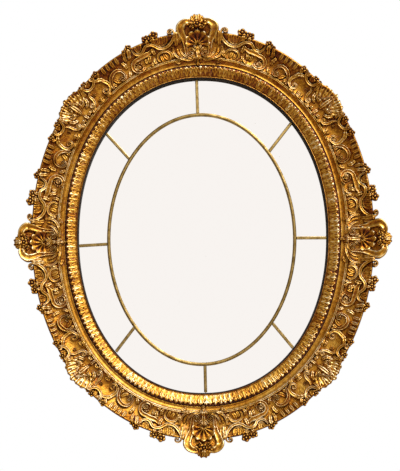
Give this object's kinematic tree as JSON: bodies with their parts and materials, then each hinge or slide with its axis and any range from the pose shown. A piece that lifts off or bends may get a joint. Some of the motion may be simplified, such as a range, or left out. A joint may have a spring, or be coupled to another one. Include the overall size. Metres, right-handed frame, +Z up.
{
  "type": "oval wall mirror",
  "caption": "Oval wall mirror in a carved and gilded wooden frame, with border plates set round a centre plate under thin slips, hung from a keyhole plate.",
  "frame": {"origin": "centre of the hanging plate's rear face, where the mirror meets the wall, 516 mm above the middle of the glass", "axes": "+X to the viewer's right, +Y into the wall, +Z up; the mirror faces -Y"},
  "size_m": [1.0567, 0.0889, 1.2471],
  "materials": {
    "gilded_wood": "carved wood with gesso, red bole and gold leaf, rubbed on the high points and dark in the hollows",
    "mirror_glass": "silvered plate glass with a few foxing specks",
    "brass_slip": "half-round brass strip, tarnished to a grey gold",
    "pine_board": "sawn pine, stained and dusty",
    "hanger_brass": "rolled brass sheet, aged",
    "screw_steel": "blued steel screws"
  },
  "bodies": {
    "root": {"frame": "gilded_wood", "mirror_plate_centre": "mirror_glass", "mirror_plate_right_upper": "mirror_glass", "mirror_plate_upper_right": "mirror_glass", "mirror_plate_upper_left": "mirror_glass", "mirror_plate_left_upper": "mirror_glass", "mirror_plate_left_lower": "mirror_glass", "mirror_plate_lower_left": "mirror_glass", "mirror_plate_lower_right": "mirror_glass", "mirror_plate_right_lower": "mirror_glass", "slip_oval": "brass_slip", "slip_bar_right": "brass_slip", "slip_bar_upper_right": "brass_slip", "slip_bar_top": "brass_slip", "slip_bar_upper_left": "brass_slip", "slip_bar_left": "brass_slip", "slip_bar_lower_left": "brass_slip", "slip_bar_bottom": "brass_slip", "slip_bar_lower_right": "brass_slip", "backboard": "pine_board", "hanging_plate": "hanger_brass", "hanger_screw_upper": "screw_steel", "hanger_screw_lower": "screw_steel"}
  },
  "joints": []
}
